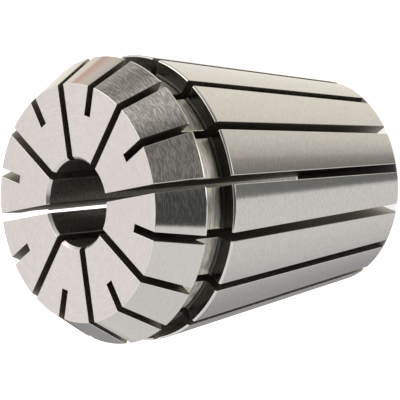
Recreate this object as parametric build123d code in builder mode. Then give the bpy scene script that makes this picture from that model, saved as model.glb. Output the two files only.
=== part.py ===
"""Spring collet for a 10 mm shank: one piece of spring steel, turned, slit and ground.

Millimetres.  The collet stands on its small rear face.  The origin is the centre of that face,
+Z runs along the axis to the nose, and every size along the axis is counted from there.
"""

import os
from math import radians, sqrt, tan

from build123d import *

# Turned body
overall_length = 40.0  # rear face to nose face
body_diameter = 33.0  # front end of the long taper, and rim of the nose
taper_half_angle = 8.0  # long taper, which the holder's socket squeezes
rear_chamfer = 0.2  # edge of the rear face
shoulder_chamfer = 0.25  # edge of the long taper beside the groove

# Nose, which the clamping nut presses on
cone_half_angle = 30.0
cone_length = 4.99  # along the axis
rim_width = 0.36  # straight band between the cone and the groove
rim_chamfer = 0.15  # edge of that band beside the groove
nose_chamfer = 0.1  # edge of the nose face

# Extraction groove, which the nut's eccentric ring hooks into
groove_width = 3.9
groove_depth = 1.9
groove_corner_radius = 0.4  # foot of the groove's rear wall

# Bore, which grips the shank
bore_diameter = 10.0
bore_nose_chamfer = 0.35
bore_rear_chamfer = 0.3

# Slots, cut by a round slitting saw that enters at the nose and at the rear in turn
slots_per_end = 8
slot_width = 1.0
saw_diameter = 63.0
nose_slot_overcut = 3.5  # how far the saw's rim passes the bore's wall, from the nose
rear_slot_overcut = 1.0  # the same, from the rear
rear_web = 0.43  # left between the end of a nose slot and the rear face, on the taper
rear_slot_on_face = 3.4  # how far a rear slot runs in from the edge of the nose face

# Turned profile, worked out from the sizes above
body_radius = body_diameter / 2
bore_radius = bore_diameter / 2
groove_radius = body_radius - groove_depth
cone_rear = overall_length - cone_length
groove_front = cone_rear - rim_width
groove_rear = groove_front - groove_width
nose_radius = body_radius - cone_length * tan(radians(cone_half_angle))
taper_slope = tan(radians(taper_half_angle))
rear_radius = body_radius - (groove_rear - shoulder_chamfer) * taper_slope
shoulder_radius = rear_radius + groove_rear * taper_slope

# Last places of the saw's centre: the slots end where its rim stops
saw_radius = saw_diameter / 2
slot_pitch = 360 / slots_per_end
nose_saw_radius = bore_radius - nose_slot_overcut + saw_radius
rear_saw_radius = bore_radius - rear_slot_overcut + saw_radius
nose_slot_end_radius = rear_radius + rear_web * taper_slope
rear_slot_end_radius = nose_radius - rear_slot_on_face


def rim_reach(centre_radius, radius):
    """Distance along the axis from the saw's centre to its rim, at a radius of the collet."""
    return sqrt(saw_radius**2 - (centre_radius - radius) ** 2)


nose_saw_height = rear_web + rim_reach(nose_saw_radius, nose_slot_end_radius)
rear_saw_height = overall_length - rim_reach(rear_saw_radius, rear_slot_end_radius)


def slot_plane(angle):
    """Half-plane of a slot at this angle: X runs outward from the axis, Y runs to the nose."""
    return Plane.XZ.rotated((0, 0, angle))


with BuildPart() as collet:
    with BuildSketch(Plane.XZ):
        with BuildLine():
            Polyline(
                (bore_radius, 0),
                (rear_radius, 0),
                (shoulder_radius, groove_rear),
                (groove_radius, groove_rear),
                (groove_radius, groove_front),
                (body_radius, groove_front),
                (body_radius, cone_rear),
                (nose_radius, overall_length),
                (bore_radius, overall_length),
                close=True,
            )
        make_face()
    revolve(axis=Axis.Z)

    rings = collet.edges().filter_by(GeomType.CIRCLE)
    at_rear = rings.group_by(Axis.Z)[0].sort_by(SortBy.RADIUS)
    at_groove_rear = rings.group_by(Axis.Z)[1].sort_by(SortBy.RADIUS)
    at_groove_front = rings.group_by(Axis.Z)[2].sort_by(SortBy.RADIUS)
    at_nose = rings.group_by(Axis.Z)[-1].sort_by(SortBy.RADIUS)
    chamfer(at_rear[0], length=bore_rear_chamfer)
    chamfer(at_rear[-1], length=rear_chamfer)
    chamfer(at_groove_rear[-1], length=shoulder_chamfer)
    chamfer(at_groove_front[-1], length=rim_chamfer)
    chamfer(at_nose[0], length=bore_nose_chamfer)
    chamfer(at_nose[-1], length=nose_chamfer)
    fillet(at_groove_rear[0], radius=groove_corner_radius)

    # Nose slots: the saw enters at the nose and stops just short of the rear face
    for index in range(slots_per_end):
        with BuildSketch(slot_plane(index * slot_pitch)):
            with Locations((nose_saw_radius, nose_saw_height)):
                Circle(saw_radius)
                Rectangle(saw_diameter, overall_length, align=(Align.CENTER, Align.MIN))
        extrude(amount=slot_width / 2, both=True, mode=Mode.SUBTRACT)

    # Rear slots: the saw enters at the rear, half a pitch on, and stops in the nose face
    for index in range(slots_per_end):
        with BuildSketch(slot_plane((index + 0.5) * slot_pitch)):
            with Locations((rear_saw_radius, rear_saw_height)):
                Circle(saw_radius)
                Rectangle(saw_diameter, overall_length, align=(Align.CENTER, Align.MAX))
        extrude(amount=slot_width / 2, both=True, mode=Mode.SUBTRACT)

collet.part.label = "collet"
os.makedirs("parts", exist_ok=True)
export_step(collet.part, "parts/collet.step")
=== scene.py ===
"""Look of a double-slit spring collet: one ground piece that stands on its small end."""

from math import asin, atan2, ceil, cos, pi, radians, sin, sqrt, tan

import bmesh
import bpy
from mathutils import Matrix, Vector


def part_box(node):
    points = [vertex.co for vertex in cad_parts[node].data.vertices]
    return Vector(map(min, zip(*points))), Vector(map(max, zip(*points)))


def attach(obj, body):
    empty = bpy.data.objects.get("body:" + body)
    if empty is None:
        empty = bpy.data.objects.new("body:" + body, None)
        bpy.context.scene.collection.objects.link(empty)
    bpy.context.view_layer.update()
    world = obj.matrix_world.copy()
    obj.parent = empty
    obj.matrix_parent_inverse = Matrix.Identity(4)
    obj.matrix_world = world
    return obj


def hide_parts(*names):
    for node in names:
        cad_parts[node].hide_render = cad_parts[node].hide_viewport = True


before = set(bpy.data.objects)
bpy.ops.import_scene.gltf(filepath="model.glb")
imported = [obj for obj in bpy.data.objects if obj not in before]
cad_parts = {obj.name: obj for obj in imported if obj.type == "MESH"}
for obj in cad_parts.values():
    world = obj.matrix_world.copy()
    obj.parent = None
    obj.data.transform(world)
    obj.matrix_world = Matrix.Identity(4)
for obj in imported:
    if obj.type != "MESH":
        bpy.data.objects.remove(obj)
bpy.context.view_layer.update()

# ---------------------------------------------------------------------------------------------
# Camera.  A long lens looks down at the nose from about a third of a metre away.  It is rolled
# so that the collet lies across the picture with its nose to the left.
camera_place = Vector((0.27298, -0.01712, 0.26780))
camera_target = Vector((0.00910, -0.00146, 0.02934))
picture_up = Vector((0.12092, 0.99028, -0.06877))
camera_lens = 282.4

camera_back = (camera_place - camera_target).normalized()
camera_right = picture_up.cross(camera_back).normalized()
camera_axes = Matrix((camera_right, camera_back.cross(camera_right), camera_back)).transposed()
camera_data = bpy.data.cameras.new("camera")
camera_data.lens = camera_lens
camera = bpy.data.objects.new("camera", camera_data)
camera.matrix_world = Matrix.Translation(camera_place) @ camera_axes.to_4x4()
bpy.context.collection.objects.link(camera)
bpy.context.scene.camera = camera
bpy.context.scene.view_settings.view_transform = "Standard"

# ---------------------------------------------------------------------------------------------
# Floor and backdrop.  A pale seamless sheet inside a white box, both bright enough to wash out
# behind the collet.  The steel mirrors neither of them, only the studio's lights.
floor_half = 3.0
floor_grey = (0.82, 0.82, 0.82)
floor_glow = 0.80
backdrop_glow = 1.0


def stage_sheet(name, corners, faces, colour, glow):
    """Matt sheet through these corners, with a light of its own, that the steel doesn't mirror."""
    mesh = bpy.data.meshes.new(name)
    mesh.from_pydata(corners, [], faces)
    material = bpy.data.materials.new(name)
    material.use_nodes = True
    shader = material.node_tree.nodes["Principled BSDF"]
    shader.inputs["Base Color"].default_value = (*colour, 1)
    shader.inputs["Roughness"].default_value = 0.9
    shader.inputs["Specular IOR Level"].default_value = 0.0
    shader.inputs["Emission Color"].default_value = (1, 1, 1, 1)
    shader.inputs["Emission Strength"].default_value = glow
    mesh.materials.append(material)
    sheet = bpy.data.objects.new(name, mesh)
    bpy.context.collection.objects.link(sheet)
    sheet.visible_glossy = False
    sheet.visible_shadow = False
    return sheet


ground = [(x * floor_half, y * floor_half, 0) for x, y in ((-1, -1), (1, -1), (1, 1), (-1, 1))]
stage_sheet("floor", ground, [(0, 1, 2, 3)], floor_grey, floor_glow)
box = [(x, y, z + h) for h in (-floor_half, 2 * floor_half) for x, y, z in ground]
box_faces = [(0, 1, 5, 4), (1, 2, 6, 5), (2, 3, 7, 6), (3, 0, 4, 7), (4, 5, 6, 7), (3, 2, 1, 0)]
backdrop = stage_sheet("backdrop", box, box_faces, (0, 0, 0), backdrop_glow)
backdrop.visible_diffuse = False


# ---------------------------------------------------------------------------------------------
# Studio.  The lights stand so far off that a direction alone places them: how far it points to
# the picture's right, up, and towards the camera, each from -1 to 1.  Each light lies in front
# of the ones before it.
def add_node(tree, kind, *feeds, into=None, **settings):
    """Node with its settings and what feeds its sockets: the first in turn, others by name."""
    made = tree.nodes.new(kind)
    for key, value in settings.items():
        setattr(made, key, value)
    for socket, value in {**dict(enumerate(feeds)), **(into or {})}.items():
        if isinstance(value, bpy.types.NodeSocket):
            tree.links.new(value, made.inputs[socket])
        else:
            made.inputs[socket].default_value = value
    return made


def toward(axis):
    """How far a direction points along one of the picture's axes."""
    dot = add_node(studio, "ShaderNodeVectorMath", sky, tuple(axis), operation="DOT_PRODUCT")
    return dot.outputs["Value"]


def maths(operation, a, b):
    """Sum, product or the like of two values."""
    return add_node(studio, "ShaderNodeMath", a, b, operation=operation).outputs[0]


def rise(value, start, end, low=0.0, high=1.0):
    """Smooth step from low to high as a value goes from start to end."""
    step = (value, start, end, low, high)
    made = add_node(studio, "ShaderNodeMapRange", *step, interpolation_type="SMOOTHSTEP")
    return made.outputs["Result"]


def lit(colour, level):
    """Colour of a light at a brightness."""
    made = add_node(studio, "ShaderNodeVectorMath", colour, into={"Scale": level}, operation="SCALE")
    return made.outputs["Vector"]


def over(share, light, behind):
    """One light in front of what lies behind it."""
    made = add_node(studio, "ShaderNodeMix", share, into={"A": behind, "B": light}, data_type="RGBA")
    return made.outputs["Result"]


world = bpy.data.worlds.new("studio")
bpy.context.scene.world = world
world.use_nodes = True
studio = world.node_tree
sky = studio.nodes.new("ShaderNodeTexCoord").outputs["Generated"]
right, up, near = (toward(camera_axes.col[i]) for i in range(3))

# Room: dim, darkest low on the camera's side, where the steel mirrors it as a dark stripe
room_low = maths("MAXIMUM", rise(up, 0.0, 0.3, 0.08, 0.20), rise(near, 0.3, -0.10, 0.0, 0.20))
room_top = maths("MULTIPLY", rise(up, 0.78, 0.94, 0.0, 0.28), rise(near, -0.25, 0.2))
room_level = maths("ADD", room_low, room_top)
room_floor = lit((0.96, 1.0, 0.98), room_level)
room_ceiling = lit((1.0, 0.97, 0.90), room_level)
glow = over(rise(up, 0.05, 0.25), room_ceiling, room_floor)

# Warm softbox overhead, behind the collet
overhead_level = 1.02
overhead_back = maths("SUBTRACT", maths("MULTIPLY", right, 0.25), near)
overhead_edge = maths("SUBTRACT", up, maths("MULTIPLY", near, 0.55))
overhead_fade = rise(overhead_edge, 0.26, 0.68, 0.0, 0.8)
overhead_rim = rise(overhead_edge, 0.475, 0.49, 0.0, 0.2)
overhead = maths("MULTIPLY", rise(overhead_back, 0.0, 0.75), maths("ADD", overhead_fade, overhead_rim))
glow = over(overhead, lit((1.0, 0.965, 0.88), overhead_level), glow)

# Narrow lamp on the right
lamp_level = 1.75
lamp_side = maths("MULTIPLY", rise(right, 0.70, 0.86), rise(near, -0.10, 0.04))
lamp_foot = maths("SUBTRACT", up, maths("MULTIPLY", near, 0.25))
lamp = maths("MULTIPLY", lamp_side, rise(lamp_foot, -0.05, 0.03))
glow = over(lamp, lit((1.0, 0.985, 0.95), lamp_level), glow)

# Pale table top below, cooler on its left, whose edge drops towards the camera
table_far = maths("MAXIMUM", rise(right, 0.35, 0.95, 0.50, 0.86), rise(up, -0.50, -0.75, 0.0, 0.90))
table_back = maths("MULTIPLY", table_far, rise(near, -1.0, -0.6, 0.70, 1.0))
table_level = maths("MAXIMUM", table_back, rise(near, -0.1, 0.4, 0.0, 0.96))
table_cool = maths("MULTIPLY", rise(right, 0.80, 0.40), rise(up, -0.20, -0.50))
table = over(table_cool, lit((0.985, 0.995, 1.01), table_level), lit((1.0, 0.99, 0.985), table_level))
near_drop = maths("MAXIMUM", maths("MULTIPLY", near, 0.44), 0.0)
far_lift = rise(near, -0.18, -0.27, 0.0, 0.035)
table_edge = maths("SUBTRACT", maths("ADD", up, near_drop), far_lift)
glow = over(rise(table_edge, 0.0, -0.012), table, glow)

# Small rosy card high up behind the collet
card_level = 0.75
card_height = maths("MULTIPLY", rise(up, 0.585, 0.61), rise(up, 0.78, 0.62))
card_side = maths("MULTIPLY", rise(near, -0.45, -0.60), rise(right, -0.15, -0.25))
glow = over(maths("MULTIPLY", card_height, card_side), lit((1.0, 0.66, 0.56), card_level), glow)

# Wide softbox on the left, up to twice as bright high up on the camera's side
softbox_level = 1.07
softbox_top = maths("MULTIPLY", rise(near, -0.15, 0.0), rise(up, 0.25, 0.40))
softbox = lit((1.0, 0.955, 0.94), maths("ADD", softbox_level, softbox_top))
glow = over(rise(right, -0.25, -0.60), softbox, glow)

studio.links.new(glow, studio.nodes["Background"].inputs["Color"])
studio.nodes["Background"].inputs["Strength"].default_value = 1.0

# ---------------------------------------------------------------------------------------------
# Collet: its turned outline, in millimetres.  A bar of spring steel is turned and bored to the
# long taper, the nut's extraction groove, the nose cone and the bore.  It is then ground, and
# every edge is broken with a fine stone.
mm = 0.001
low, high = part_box("collet")
length = (high[2] - low[2]) / mm
taper_half_angle = radians(8)
cone_half_angle = radians(30)
body_radius = 16.5
bore_radius = 5.0
cone_length = 4.99
rim_width = 0.36
groove_width = 3.9
groove_depth = 1.9
shoulder_chamfer = 0.17
rim_chamfer = 0.15
rear_chamfer = 0.2
bore_nose_chamfer = 0.35
bore_rear_chamfer = 0.3
groove_fillet = 0.4
groove_front_fillet = 0.15
stoned = 0.11

taper_slope = tan(taper_half_angle)
cone_slope = tan(cone_half_angle)
cone_height = length - cone_length
groove_front = cone_height - rim_width
groove_rear = groove_front - groove_width
groove_radius = body_radius - groove_depth
nose_radius = body_radius - cone_length * cone_slope
rear_radius = body_radius - (groove_rear - shoulder_chamfer) * taper_slope

# ---------------------------------------------------------------------------------------------
# Slots.  A round slitting saw, 63 mm across, enters at the nose and stops short of the rear
# face.  Half a pitch on it enters at the rear and stops in the nose face.
slots_per_end = 8
half_pitch = pi / slots_per_end
slot_half = 0.5
saw_radius = 31.5
nose_slot_overcut = 3.5  # how far the saw's rim passes the bore's wall, from the nose
rear_slot_overcut = 1.0  # the same, from the rear
rear_web = 0.43  # left between the end of a nose slot and the rear face
rear_slot_on_face = 3.4  # how far a rear slot runs in from the edge of the nose face
nose_saw_radius = bore_radius - nose_slot_overcut + saw_radius
rear_saw_radius = bore_radius - rear_slot_overcut + saw_radius


def rim_reach(centre, radius):
    """Distance along the axis from the saw's centre to its rim, at a radius of the collet."""
    return sqrt(saw_radius**2 - (centre - radius) ** 2)


nose_slot_foot = rear_radius + rear_web * taper_slope
rear_slot_foot = nose_radius - rear_slot_on_face
nose_saw_height = rear_web + rim_reach(nose_saw_radius, nose_slot_foot)
rear_saw_height = length - rim_reach(rear_saw_radius, rear_slot_foot)
nose_slot_in_bore = nose_saw_height - rim_reach(nose_saw_radius, bore_radius)
rear_slot_in_bore = rear_saw_height + rim_reach(rear_saw_radius, bore_radius)

# Each corner: radius, height, how far its edge is rounded, and the finish of the stretch that
# follows it.  A corner rounded by nothing is where a slot ends.
corners = [
    (nose_slot_foot, rear_web, 0, "taper"),
    (body_radius, groove_rear - shoulder_chamfer, 2 * stoned, "rim"),
    (body_radius - shoulder_chamfer, groove_rear, 1.3 * stoned, "wall"),
    (groove_radius, groove_rear, groove_fillet, "groove"),
    (groove_radius, groove_front, groove_front_fillet, "groove"),
    (body_radius - rim_chamfer, groove_front, stoned, "rim"),
    (body_radius, groove_front + rim_chamfer, stoned, "rim"),
    (body_radius, cone_height, stoned, "cone"),
    (nose_radius, length, stoned, "nose_face"),
    (rear_slot_foot, length, 0, "nose_face"),
    (bore_radius + bore_nose_chamfer, length, stoned, "nose_face"),
    (bore_radius, length - bore_nose_chamfer, stoned, "bore"),
    (bore_radius, rear_slot_in_bore, 0, "bore"),
    (bore_radius, nose_slot_in_bore, 0, "bore"),
    (bore_radius, bore_rear_chamfer, stoned, "bore"),
    (bore_radius + bore_rear_chamfer, 0, stoned, "rear_face"),
    (rear_radius - rear_chamfer, 0, 1.3 * stoned, "rim"),
    (rear_radius + rear_chamfer * taper_slope, rear_chamfer, 5 * stoned, "taper"),
]


def turned_outline(corners, arc_steps=6, longest=2.5, support=0.06):
    """Rows round the outline: point, finish of the stretch after it, and whether a slot ends there.

    A long stretch gets rows no further apart than longest, and one this support from each end.
    """
    spots = [Vector((radius, height)) for radius, height, _, _ in corners]
    arcs = []
    for i, spot in enumerate(spots):
        come = (spot - spots[i - 1]).normalized()
        leave = (spots[(i + 1) % len(spots)] - spot).normalized()
        bend = atan2(come.cross(leave), come.dot(leave))
        cut = corners[i][2] * tan(abs(bend) / 2)
        arcs.append((spot - come * cut, spot + leave * cut, Vector((-come.y, come.x)), bend))
    rows = []
    for i, (_, _, rounding, finish) in enumerate(corners):
        arc_start, arc_end, sideways, bend = arcs[i]
        if rounding == 0:
            rows.append((spots[i], finish, True))
        else:
            inward = sideways * (rounding if bend > 0 else -rounding)
            # The groove's rounded corners take the wall's near-black colour, which is painted shade.
            arc_finish = "wall" if finish == "groove" else "rim"
            for step in range(arc_steps + 1):
                swing = Matrix.Rotation(bend * step / arc_steps, 2)
                row_finish = finish if step == arc_steps else arc_finish
                rows.append((arc_start + inward - swing @ inward, row_finish, False))
        stretch = arcs[(i + 1) % len(arcs)][0] - arc_end
        run = stretch.length
        if run > 4 * support:
            steps = max(1, ceil((run - 2 * support) / longest))
            for step in range(steps + 1):
                share = (support + (run - 2 * support) * step / steps) / run
                rows.append((arc_end + stretch * share, finish, False))
    return rows


outline = turned_outline(corners)

# ---------------------------------------------------------------------------------------------
# Half a jaw: what lies between the middle of a nose slot and the middle of the next rear slot.
# Its skin follows the turned outline, its two sides are flat where the saw went through, with a
# finely broken lip, and the saw's round rim leaves a curved foot where it stopped.
jaw_columns = 22
foot_steps = 28
lip = 0.065  # how far the slot's broken edge reaches from its side
lip_depth = 0.025  # how far down that side it reaches
turned_finishes = ("taper", "groove", "wall", "rim", "cone", "nose_face", "bore", "rear_face")
finishes = turned_finishes + ("slot_wall", "slot_foot")


def inset_rows(rows):
    """The outline moved inward by the lip's depth, where the slot's side begins."""
    moved = []
    for i, (spot, _, _) in enumerate(rows):
        come = (spot - rows[i - 1][0]).normalized()
        leave = (rows[(i + 1) % len(rows)][0] - spot).normalized()
        inward_a = Vector((-come.y, come.x))
        inward_b = Vector((-leave.y, leave.x))
        moved.append(spot + (inward_a + inward_b) * lip_depth / (1 + inward_a.dot(inward_b)))
    return moved


def saw_foot(centre, start, end):
    """Points of the saw's rim between two places on the outline, both ends left out."""
    centre = Vector(centre)
    a = Vector(start) - centre
    b = Vector(end) - centre
    bend = atan2(a.cross(b), a.dot(b))
    return [centre + Matrix.Rotation(bend * s / foot_steps, 2) @ a for s in range(1, foot_steps)]


class HalfJaw:
    """Mesh of half a jaw, put together from its skin, its sides and the feet of its slots."""

    def __init__(self):
        self.mesh = bmesh.new()
        self.finish = self.mesh.faces.layers.int.new("finish")

    def turned(self, radius, height, angle):
        """Vertex at an angle round the axis from the middle of the nose slot."""
        place = Vector((radius * cos(angle), radius * sin(angle), height))
        return self.mesh.verts.new(place * mm)

    def sawn(self, radius, height, side, gap):
        """Vertex at a distance from the middle plane of the nose slot (0) or rear slot (1)."""
        angle = asin(gap / radius)
        return self.turned(radius, height, half_pitch - angle if side else angle)

    def face(self, verts, finish):
        """Face through these vertices, marked with its finish."""
        made = self.mesh.faces.new(verts)
        made[self.finish] = finishes.index(finish)


half = HalfJaw()
count = len(outline)
nose_slot_on_taper, rear_slot_on_nose, rear_slot_top, nose_slot_low = (
    i for i, (_, _, slot_ends) in enumerate(outline) if slot_ends
)
inset = inset_rows(outline)
skin = []
for spot, _, _ in outline:
    first = asin((slot_half + lip) / spot.x)
    span = half_pitch - 2 * first
    skin.append([half.turned(*spot, first + span * c / jaw_columns) for c in range(jaw_columns + 1)])
for i, (_, finish, _) in enumerate(outline):
    j = (i + 1) % count
    for c in range(jaw_columns):
        half.face((skin[i][c], skin[i][c + 1], skin[j][c + 1], skin[j][c]), finish)


def slot_side(side, column, cut_from, cut_to, saw_centre):
    """One side of a slot, with its broken lip, its curved foot and the whole web beyond.

    The slot takes the outline from cut_from to cut_to, and the web has the rest of it.
    """
    cut = [i % count for i in range(cut_from, cut_to + 1)]
    whole = [i % count for i in range(cut_to, cut_from + count + 1)]
    wall = {i: half.sawn(*inset[i], side, slot_half) for i in cut}
    edge = {i: half.sawn(*outline[i][0], side, slot_half) for i in whole}
    middle = {i: half.sawn(*outline[i][0], side, 0) for i in whole}
    for i, j in zip(cut, cut[1:]):
        lip_finish = outline[i][1] if outline[i][1] in ("groove", "wall", "nose_face") else "rim"
        half.face((skin[i][column], skin[j][column], wall[j], wall[i]), lip_finish)
    for i, j in zip(whole, whole[1:]):
        half.face((skin[i][column], skin[j][column], edge[j], edge[i]), outline[i][1])
        half.face((edge[i], edge[j], middle[j], middle[i]), outline[i][1])
    for i in (cut[0], cut[-1]):
        half.face((skin[i][column], edge[i], wall[i]), "rim")
    foot = saw_foot(saw_centre, outline[cut[-1]][0], outline[cut[0]][0])
    foot_edge = [edge[cut[-1]]] + [half.sawn(*p, side, slot_half) for p in foot] + [edge[cut[0]]]
    foot_middle = [middle[cut[-1]]] + [half.sawn(*p, side, 0) for p in foot] + [middle[cut[0]]]
    for a, b, c, d in zip(foot_edge, foot_edge[1:], foot_middle[1:], foot_middle):
        half.face((a, b, c, d), "slot_foot")
    half.face([wall[i] for i in cut] + foot_edge, "slot_wall")


slot_side(0, 0, nose_slot_on_taper, nose_slot_low, (nose_saw_radius, nose_saw_height))
slot_side(1, jaw_columns, rear_slot_top, rear_slot_on_nose + count, (rear_saw_radius, rear_saw_height))
half_mesh = bpy.data.meshes.new("half_jaw")
half.mesh.to_mesh(half_mesh)
half.mesh.free()

# ---------------------------------------------------------------------------------------------
# Finishes.  Bare spring steel: the taper and the cone are ground with fine marks that run round
# them, the nose and the groove are turned, and the slots keep the saw's rougher face.  The nut
# has dragged on one side of the cone and left it scratched, and there the scratches are painted
# lighter, as painted highlights where they catch the light.  The groove's rear wall and the
# saw's run-outs are painted near black, as painted shade.
micron = 1e-6
middle_radius = 14.0  # where a mark's length round the axis is true
quarter_turn = 0.25
shading_marks = (0.3, 0.7)  # share of the marks' noise over which each thing changes
matting_marks = (0.48, 0.75)
glint_marks = (0.50, 0.72)
# The side of the cone whose scratches are painted lighter: painted highlights, not a colour of the steel.
glint_side_angle = radians(25)
glint_side = (cos(glint_side_angle), sin(glint_side_angle), 0.0)
glint_edge = (0.70, 0.985)  # how squarely the steel faces that side where the painted glints start and are full


def steel(name, colour, matt, anisotropy, mark_length, mark_gap, mark_depth, contrast, scratch_glint=0.0):
    """Bare steel with tool marks round the axis, millimetres long and apart and microns deep.

    Matt is its roughness between the marks and in them, contrast how much their brightness
    varies, and scratch_glint how much lighter its scratches are painted on one side, as painted
    highlights where they catch the light.
    """
    material = bpy.data.materials.new(name)
    material.use_nodes = True
    tree = material.node_tree
    shader = tree.nodes["Principled BSDF"]

    def out(socket, kind, *feeds, **settings):
        """One output of a new node of this steel."""
        return add_node(tree, kind, *feeds, **settings).outputs[socket]

    x, y, z = add_node(tree, "ShaderNodeSeparateXYZ", out("Object", "ShaderNodeTexCoord")).outputs
    turn = out(0, "ShaderNodeMath", y, x, operation="ARCTAN2")
    flat = out(0, "ShaderNodeCombineXYZ", x, y, 0.0)
    radius = out("Value", "ShaderNodeVectorMath", flat, operation="LENGTH")
    round_it = out(0, "ShaderNodeMath", turn, middle_radius / mark_length, operation="MULTIPLY")
    down_it = out(0, "ShaderNodeMath", z, 1 / (mm * mark_gap), operation="MULTIPLY")
    out_it = out(0, "ShaderNodeMath", radius, 1 / (mm * mark_gap), operation="MULTIPLY")
    marks_at = out(0, "ShaderNodeCombineXYZ", round_it, down_it, out_it)
    grain = {"Scale": 1.0, "Detail": 3.0, "Roughness": 0.6}
    marks = out("Fac", "ShaderNodeTexNoise", marks_at, into=grain)

    level = out("Result", "ShaderNodeMapRange", marks, *shading_marks, 1 - contrast, 1 + contrast)
    # Painted highlights: on one side the marks' peaks are painted lighter, standing in for scratches that
    # catch the light.
    if scratch_glint:
        outward = out("Vector", "ShaderNodeVectorMath", flat, operation="NORMALIZE")
        facing = out("Value", "ShaderNodeVectorMath", outward, glint_side, operation="DOT_PRODUCT")
        side = (facing, *glint_edge)
        glint_mask = out("Result", "ShaderNodeMapRange", *side, interpolation_type="SMOOTHSTEP")
        painted_glint = out("Result", "ShaderNodeMapRange", marks, *glint_marks, 0.0, scratch_glint)
        level = out(0, "ShaderNodeMath", glint_mask, painted_glint, level, operation="MULTIPLY_ADD")
    tint = out("Vector", "ShaderNodeVectorMath", colour, into={"Scale": level}, operation="SCALE")
    tree.links.new(tint, shader.inputs["Base Color"])
    roughness = out("Result", "ShaderNodeMapRange", marks, *matting_marks, *matt)
    tree.links.new(roughness, shader.inputs["Roughness"])
    relief = {"Strength": 1.0, "Distance": mark_depth * micron, "Height": marks}
    tree.links.new(out("Normal", "ShaderNodeBump", into=relief), shader.inputs["Normal"])
    shader.inputs["Metallic"].default_value = 1.0
    shader.inputs["Anisotropic"].default_value = anisotropy
    shader.inputs["Anisotropic Rotation"].default_value = quarter_turn
    if anisotropy:
        tangent = out("Tangent", "ShaderNodeTangent", direction_type="RADIAL", axis="Z")
        tree.links.new(tangent, shader.inputs["Tangent"])
    return material


# Each finish: its material's name and colour, roughness between the marks and in them,
# anisotropy, then the marks' length, gap, depth and contrast.
steels = {
    "taper": steel("ground_taper", (0.62, 0.60, 0.575), (0.12, 0.14), 0.6, 0.5, 0.15, 1.0, 0.10),
    "groove": steel("turned_groove", (0.64, 0.615, 0.54), (0.38, 0.60), 0.65, 2.0, 0.25, 12.0, 0.45),
    # The groove's rear wall is painted near black: painted shade, not the colour of the steel.
    "wall": steel("groove_wall_painted_shade", (0.055, 0.055, 0.050), (0.25, 0.40), 0.5, 1.6, 0.16, 3.0, 0.30),
    "rim": steel("stoned_edges", (0.68, 0.665, 0.64), (0.12, 0.15), 0.0, 1.0, 0.2, 0.5, 0.02),
    # The cone's scratches are painted lighter on one side, as painted highlights.
    "cone": steel("ground_cone", (0.60, 0.572, 0.54), (0.10, 0.12), 0.5, 0.8, 0.12, 3.0, 0.05, scratch_glint=4.5),
    "nose_face": steel("ground_nose_face", (0.64, 0.62, 0.605), (0.30, 0.38), 0.5, 1.2, 0.14, 1.5, 0.08),
    "bore": steel("honed_bore", (0.39, 0.378, 0.348), (0.36, 0.42), 0.3, 1.2, 0.20, 2.0, 0.42),
    "rear_face": steel("ground_rear_face", (0.62, 0.60, 0.58), (0.30, 0.38), 0.5, 1.2, 0.14, 1.5, 0.05),
    "slot_wall": steel("sawn_slots", (0.335, 0.308, 0.265), (0.38, 0.55), 0.0, 1.5, 0.25, 4.0, 0.30),
    # The saw's run-outs, deep in the slots, are painted dark: painted shade, not the colour of the steel.
    "slot_foot": steel("saw_run_outs_painted_shade", (0.16, 0.155, 0.15), (0.45, 0.55), 0.0, 1.0, 0.15, 2.0, 0.15),
}

# ---------------------------------------------------------------------------------------------
# The whole collet: each half jaw is mirrored in the middle of its nose slot, and the pair is
# repeated round the axis, once for each slot of one end.  The jaws are one piece of steel, so
# their meshes are welded where they meet in the webs.
weld_distance = 1e-6
smooth_below = radians(18)
ring = bpy.data.node_groups.new("jaws_round_the_axis", "GeometryNodeTree")
ring.interface.new_socket("Half jaw", in_out="INPUT", socket_type="NodeSocketGeometry")
copies_socket = ring.interface.new_socket("Slots at each end", in_out="INPUT", socket_type="NodeSocketInt")
weld_socket = ring.interface.new_socket("Weld distance", in_out="INPUT", socket_type="NodeSocketFloat")
ring.interface.new_socket("Collet", in_out="OUTPUT", socket_type="NodeSocketGeometry")


def ring_node(kind, feeds, **settings):
    """Node of the ring's tree, with what feeds its sockets."""
    return add_node(ring, kind, into=feeds, **settings)


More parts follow.
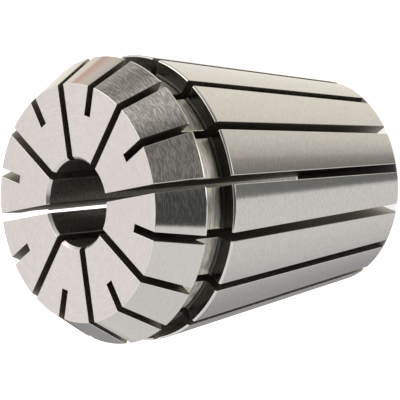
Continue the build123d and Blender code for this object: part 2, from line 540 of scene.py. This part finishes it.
given = ring_node("NodeGroupInput", {}).outputs
mirrored = ring_node("GeometryNodeTransform", {"Geometry": given["Half jaw"], "Scale": (1, -1, 1)})
faced = ring_node("GeometryNodeFlipFaces", {"Mesh": mirrored.outputs["Geometry"]})
pair = ring_node("GeometryNodeJoinGeometry", {"Geometry": given["Half jaw"]})
ring.links.new(faced.outputs["Mesh"], pair.inputs["Geometry"])
points = ring_node("GeometryNodePoints", {"Count": given["Slots at each end"]})
index = ring_node("GeometryNodeInputIndex", {})
pitch = ring_node("ShaderNodeMath", {0: 2 * pi, 1: given["Slots at each end"]}, operation="DIVIDE")
angle = ring_node("ShaderNodeMath", {0: index.outputs[0], 1: pitch.outputs[0]}, operation="MULTIPLY")
turned = ring_node("ShaderNodeCombineXYZ", {"Z": angle.outputs[0]})
placed = ring_node(
    "GeometryNodeInstanceOnPoints",
    {
        "Points": points.outputs[0],
        "Instance": pair.outputs["Geometry"],
        "Rotation": turned.outputs["Vector"],
    },
)
solid = ring_node("GeometryNodeRealizeInstances", {"Geometry": placed.outputs["Instances"]})
welded = ring_node(
    "GeometryNodeMergeByDistance",
    {"Geometry": solid.outputs["Geometry"], "Distance": given["Weld distance"]},
)
finish_of = ring_node("GeometryNodeInputNamedAttribute", {"Name": "finish"}, data_type="INT")
dressed = welded.outputs["Geometry"]
for number, name in enumerate(finishes):
    same = {2: finish_of.outputs["Attribute"], 3: number}
    chosen = ring_node("FunctionNodeCompare", same, data_type="INT", operation="EQUAL")
    painted = ring_node(
        "GeometryNodeSetMaterial",
        {"Geometry": dressed, "Selection": chosen.outputs["Result"], "Material": steels[name]},
    )
    dressed = painted.outputs["Geometry"]
ring_node("NodeGroupOutput", {"Collet": dressed})

half_mesh.materials.append(steels["taper"])
half_jaw = bpy.data.objects.new("half_jaw", half_mesh)
bpy.context.collection.objects.link(half_jaw)
repeat = half_jaw.modifiers.new("jaws", "NODES")
repeat.node_group = ring
repeat[copies_socket.identifier] = slots_per_end
repeat[weld_socket.identifier] = weld_distance
ready = half_jaw.evaluated_get(bpy.context.evaluated_depsgraph_get())
collet_mesh = bpy.data.meshes.new_from_object(ready)
bpy.data.objects.remove(half_jaw)

outward = bmesh.new()
outward.from_mesh(collet_mesh)
bmesh.ops.recalc_face_normals(outward, faces=outward.faces)
outward.to_mesh(collet_mesh)
outward.free()
collet_mesh.shade_smooth()
collet_mesh.set_sharp_from_angle(angle=smooth_below)
collet = bpy.data.objects.new("ground_collet", collet_mesh)
bpy.context.collection.objects.link(collet)
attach(collet, "root")
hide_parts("collet")
